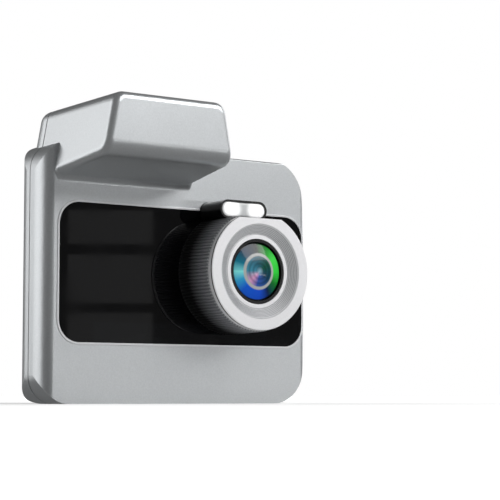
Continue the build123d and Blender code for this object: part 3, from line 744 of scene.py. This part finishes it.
    def grooved_cone(self) -> None:
        """Turn the light-trap cone with its fine stepped grooves."""
        low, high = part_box("lens_cone")
        front, back = low[1] / MM, high[1] / MM
        wide, shoulder = self.ring_bore - 0.05, self.sleeve_front - 0.05
        small_depth = front + self.cone_drop
        profile = [(wide, front)]
        pitch = (wide - self.cone_small) / (self.grooves + 1)
        slope = (small_depth - front) / (wide - self.cone_small)
        for step in range(1, self.grooves + 1):
            outer, inner = wide - pitch * step, wide - pitch * (step + self.groove_share)
            profile += [(outer, front + slope * (wide - outer)),
                        (outer, front + slope * (wide - outer) + self.groove_depth),
                        (inner, front + slope * (wide - inner) + self.groove_depth),
                        (inner, front + slope * (wide - inner))]
        profile += [(self.cone_small, small_depth), (self.cone_small, back), (self.bore - 0.05, back),
                    (self.bore - 0.05, shoulder), (wide, shoulder)]
        piece = spun("grooved_cone", profile, self.centre, self.round_steps)
        piece.data.materials.append(self.palette.of(Finish.CONE))
        # the sleeve's darker finish goes on the groove faces: painted shade in the cone's grooves
        piece.data.materials.append(self.palette.of(Finish.SLEEVE))

        def in_groove(point: Vector) -> bool:
            """Say whether a face lies below the cone's ridges.

            Args:
                point: the face's middle, in metres.

            Returns:
                True in a groove.
            """
            radius = self._radius(point)
            below = point.y / MM - front - slope * (wide - radius)
            return radius < wide - 0.05 and self.groove_depth * 0.3 < below < self.groove_depth * 1.4

        pick(in_groove, "FACE")
        piece.active_material_index = 1
        bpy.ops.object.material_slot_assign()
        settle(piece, "grooved_cone", 20)
        self._dress(piece, (), "lens_cone")

    def front_glass(self) -> None:
        """Turn the front glass as a smooth dome with a ground edge."""
        low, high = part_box("front_element")
        apex, rim_back = low[1] / MM, high[1] / MM
        rim = apex + self.glass_bulge
        profile = []
        for step in range(self.dome_steps + 1):
            radius = self.glass_radius * (self.pole + (1 - self.pole) * step / self.dome_steps)
            profile.append((radius, apex + (rim - apex) * (radius / self.glass_radius) ** 2))
        profile += [(self.glass_radius, rim_back),
                    (self.glass_radius * self.pole, rim_back - self.glass_dish)]
        piece = spun("front_glass", profile, self.centre, self.round_steps)
        settle(piece, "front_glass", 40)
        glass = CoatedGlassWithPaintedReflections("multicoated_glass_painted_reflections", self.centre, self.glass_radius)
        self._dress(piece, (glass.build(),), "front_element")

    def inner_glass(self) -> None:
        """Give the hidden elements plain dark glass."""
        dark = GrainedFinish("inner_lens_glass", "2B4A55", "1E3842", 0.0, 0.05, 2.0, 0.0, ior=1.6).build()
        for node in ("second_element", "rear_element", "ir_filter", "front_element"):
            piece = frame["nodes"][node]
            piece.data.materials.clear()
            piece.data.materials.append(dark)

    def build(self) -> None:
        """Build the whole lens."""
        self.knurled_sleeve()
        self.bright_ring()
        self.grooved_cone()
        self.front_glass()
        self.inner_glass()


@dataclass
class LampPod:
    """The opal diffuser and the light pipe, the first over the two lamps above the lens."""

    lamp_inset: float = 0.9        # millimetres from the emitters' ends to a lamp's middle

    def build(self) -> None:
        """Dress the diffuser and the light pipe with opal plastic that glows over its lamps."""
        low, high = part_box("lamp_emitters")
        across = (high[0] - low[0]) / 2 - self.lamp_inset * MM
        middle_x, middle_z = (low[0] + high[0]) / 2, (low[2] + high[2]) / 2
        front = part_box("lamp_diffuser")[0][1]
        lamps = ((middle_x - across, front, middle_z), (middle_x + across, front, middle_z))
        opal = MilkyDiffuser("opal_polycarbonate", lamps).build()
        for node in ("lamp_diffuser", "light_pipe"):
            piece = frame["nodes"][node]
            piece.data.materials.clear()
            piece.data.materials.append(opal)
        log.info("lamp pod dressed")


class KeyMark(Enum):
    """Plain symbols pad-printed on the rear keys, from the top down."""

    POWER_RING = "rear_key_5"
    UP = "rear_key_4"
    ROUND = "rear_key_3"
    DOWN = "rear_key_2"
    SQUARE = "rear_key_1"


@dataclass
class RearKeys:
    """The printed symbols on the five rear keys."""

    palette: Palette
    size: float = 0.9
    thickness: float = 0.05

    def mark(self, mark: KeyMark) -> None:
        """Model one symbol as a thin raised print on its key.

        Args:
            mark: the symbol and its key.
        """
        low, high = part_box(mark.value)
        place = Vector(((low[0] + high[0]) / 2, high[1] - self.thickness * MM * 0.4, (low[2] + high[2]) / 2))
        corners = {KeyMark.UP: 3, KeyMark.DOWN: 3, KeyMark.SQUARE: 4}.get(mark, 32)
        start_clean()
        bpy.ops.mesh.primitive_cylinder_add(vertices=corners, radius=self.size * MM,
                                            depth=self.thickness * MM, location=(0, 0, 0))
        piece = bpy.context.object
        bpy.ops.object.mode_set(mode="EDIT")
        if mark in (KeyMark.POWER_RING, KeyMark.ROUND):
            pick(lambda point: abs(point.z) > self.thickness * MM * 0.4, "FACE")
            bpy.ops.mesh.inset(thickness=self.size * MM * 0.35, use_individual=True)
            bpy.ops.mesh.delete(type="FACE")
            bpy.ops.mesh.select_mode(type="EDGE")
            bpy.ops.mesh.select_all(action="DESELECT")
            bpy.ops.mesh.select_non_manifold()
            bpy.ops.mesh.bridge_edge_loops()
            bpy.ops.mesh.select_all(action="SELECT")
            bpy.ops.mesh.normals_make_consistent(inside=False)
        bpy.ops.object.mode_set(mode="OBJECT")
        turn = {KeyMark.DOWN: math.pi, KeyMark.SQUARE: math.pi / 4}.get(mark, 0.0)
        piece.rotation_euler = (math.radians(90), turn, 0)
        piece.location = place
        settle(piece, f"key_mark_{mark.name.lower()}")
        piece.data.materials.append(self.palette.of(Finish.KEY_MARK))
        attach(piece, mark.value)
        log.info("%s printed", piece.name)

    def build(self) -> None:
        """Print every key."""
        for mark in KeyMark:
            self.mark(mark)


@dataclass(frozen=True)
class SoftLamp:
    """A soft rectangular lamp."""

    name: str
    place: Point               # its middle, in metres
    size: tuple[float, float]  # width and height in metres
    watts: float
    target: Point = (0.0, 0.0, 0.03)


@dataclass
class Studio:
    """Pale floor, soft lights and the camera."""

    lamps: tuple[SoftLamp, ...] = (
        SoftLamp("left_softbox", (-0.62, 0.50, 0.22), (0.7, 0.6), 2.35),
        SoftLamp("key_softbox", (0.46, -0.66, 0.56), (0.75, 0.45), 6.3),
        SoftLamp("right_softbox", (0.75, 0.15, 0.25), (0.4, 0.5), 1.2),
        SoftLamp("low_strip", (0.55, -0.80, 0.018), (0.5, 0.035), 0.42),
    )

    camera_place: Point = (-0.22667, -0.33882, 0.00190)
    camera_turn: Point = (94.893, 0.0, -35.79)
    lens_mm: float = 122.6
    floor_size: float = 4.0
    floor_glow: tuple[float, float] = (0.15, 1.0)      # near the object and far off
    floor_reach: float = 0.4           # metres at which the floor has turned white
    floor_lift: float = 0.22           # extra glow that only the camera sees
    pane_width: float = 0.07           # three dim panes that the gloss window mirrors
    pane_radiance: float = 0.30
    pane_place: tuple[float, float] = (0.50, -0.86)
    pane_target: Point = (-0.02, 0.003, 0.03)
    pane_rows: tuple[tuple[float, float], ...] = ((0.057, 0.026), (0.098, 0.040), (0.141, 0.028))

    def floor(self) -> None:
        """Lay the pale floor."""
        start_clean()
        bpy.ops.mesh.primitive_plane_add(size=self.floor_size, location=(0, 0, 0))
        floor = bpy.context.object
        floor.name = "studio_floor"
        material, tree, shader = new_material("pale_paper")
        place = add_node(tree, "ShaderNodeTexCoord").outputs["Object"]
        fibre = add_node(tree, "ShaderNodeTexNoise", {"Scale": 40.0, "Detail": 2.0}, {"Vector": place})
        tree.links.new(ramp(tree, fibre.outputs["Fac"], ((0.3, "EDEDED"), (0.7, "F2F2F2"))),
                       shader.inputs["Base Color"])
        shader.inputs["Roughness"].default_value = 0.9
        reach = add_node(tree, "ShaderNodeVectorMath", {"operation": "LENGTH"}, {0: place})
        glow = add_node(tree, "ShaderNodeMapRange",
                        {"interpolation_type": "SMOOTHSTEP", "From Max": self.floor_reach,
                         "To Min": self.floor_glow[0], "To Max": self.floor_glow[1]},
                        {"Value": reach.outputs["Value"]})
        path = add_node(tree, "ShaderNodeLightPath")
        seen = add_node(tree, "ShaderNodeMath", {"operation": "MULTIPLY_ADD", 1: self.floor_lift},
                        {0: path.outputs["Is Camera Ray"], 2: glow.outputs["Result"]})
        tree.links.new(seen.outputs[0], shader.inputs["Emission Strength"])
        shader.inputs["Emission Color"].default_value = (1.0, 1.0, 1.0, 1.0)
        floor.data.materials.append(material)
        floor.visible_glossy = False

    def light(self, lamp: SoftLamp) -> None:
        """Hang one lamp and turn it to its target.

        Args:
            lamp: the lamp.
        """
        data = bpy.data.lights.new(lamp.name, "AREA")
        data.shape = "RECTANGLE"
        data.size, data.size_y = lamp.size
        data.energy = lamp.watts
        hung = bpy.data.objects.new(lamp.name, data)
        bpy.context.collection.objects.link(hung)
        hung.location = lamp.place
        hung.rotation_euler = (Vector(lamp.target) - Vector(lamp.place)).to_track_quat("-Z", "Y").to_euler()
        hung.visible_camera = False

    def world(self, seen: float = 1.0, lit: float = 0.13) -> None:
        """Set a white backdrop that lights the object more softly than it looks.

        Args:
            seen: the backdrop's brightness to the eye.
            lit: its brightness as a light.
        """
        world = bpy.data.worlds.new("studio_world")
        world.use_nodes = True
        tree = world.node_tree
        tree.nodes.clear()
        path = add_node(tree, "ShaderNodeLightPath")
        level = add_node(tree, "ShaderNodeMapRange", {"To Min": lit, "To Max": seen},
                         {"Value": path.outputs["Is Camera Ray"]})
        back = add_node(tree, "ShaderNodeBackground", {"Color": (1, 1, 1, 1)},
                        {"Strength": level.outputs["Result"]})
        add_node(tree, "ShaderNodeOutputWorld", {}, {"Surface": back.outputs[0]})
        bpy.context.scene.world = world

    def camera(self) -> None:
        """Set the camera."""
        data = bpy.data.cameras.new("studio_camera")
        data.lens = self.lens_mm
        data.sensor_width = 36
        data.clip_start, data.clip_end = 0.01, 50
        camera = bpy.data.objects.new("studio_camera", data)
        camera.location = self.camera_place
        camera.rotation_euler = tuple(math.radians(angle) for angle in self.camera_turn)
        bpy.context.collection.objects.link(camera)
        bpy.context.scene.camera = camera

    def build(self) -> None:
        """Build the whole studio."""
        bpy.context.scene.view_settings.view_transform = "Standard"
        self.floor()
        for lamp in self.lamps:
            self.light(lamp)
        x, y = self.pane_place
        for height, tall in self.pane_rows:
            size = (self.pane_width, tall)
            watts = self.pane_radiance * math.pi * self.pane_width * tall
            self.light(SoftLamp("far_pane", (x, y, height), size, watts, self.pane_target))
        self.world()
        self.camera()


def main() -> None:
    """Build the dash camera's looks and its studio."""
    logging.basicConfig(level=logging.INFO, format="%(name)s: %(message)s")
    palette = Palette()
    Shells(palette).dress()
    Panes().dress()
    Lens(palette).build()
    LampPod().build()
    RearKeys(palette).build()
    Studio().build()


if __name__ == "__main__":
    main()
